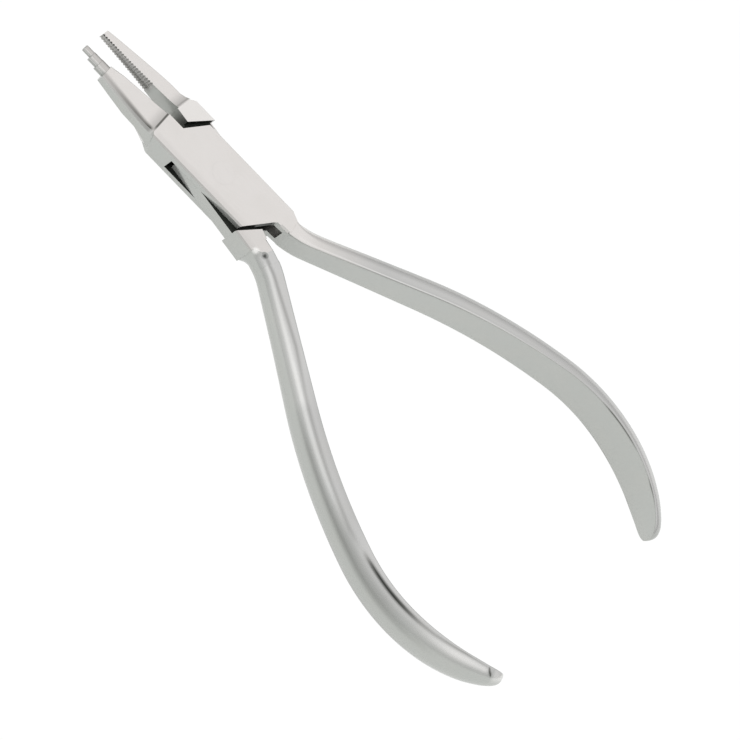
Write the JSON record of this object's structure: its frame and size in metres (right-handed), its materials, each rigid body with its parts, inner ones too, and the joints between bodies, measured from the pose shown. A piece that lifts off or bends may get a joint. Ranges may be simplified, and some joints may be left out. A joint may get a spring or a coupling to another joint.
{
  "type": "orthodontic wire-forming pliers",
  "caption": "Orthodontic wire-forming pliers with a round stepped beak, a flat serrated beak, a riveted box joint and long swept steel handles.",
  "frame": {"origin": "on the rivet's axis, at the underside of the box", "axes": "+Z along the rivet's axis, +Y along the box towards the beaks, +X to the right when the beaks point away"},
  "size_m": [0.0688, 0.1355, 0.0098],
  "materials": {
    "satin_steel": "satin",
    "rivet_steel": "satin"
  },
  "bodies": {
    "box_side": {"box_half": "satin_steel", "joint_pin": "rivet_steel"},
    "tongue_side": {"tongue_half": "satin_steel"}
  },
  "joints": [
    {"name": "jaw_hinge", "type": "hinge", "parent": "box_side", "child": "tongue_side", "pos_m": [0, 0, 0.0028], "axis": [0, 0, -1], "range_deg": [-6.5, 16]}
  ]
}
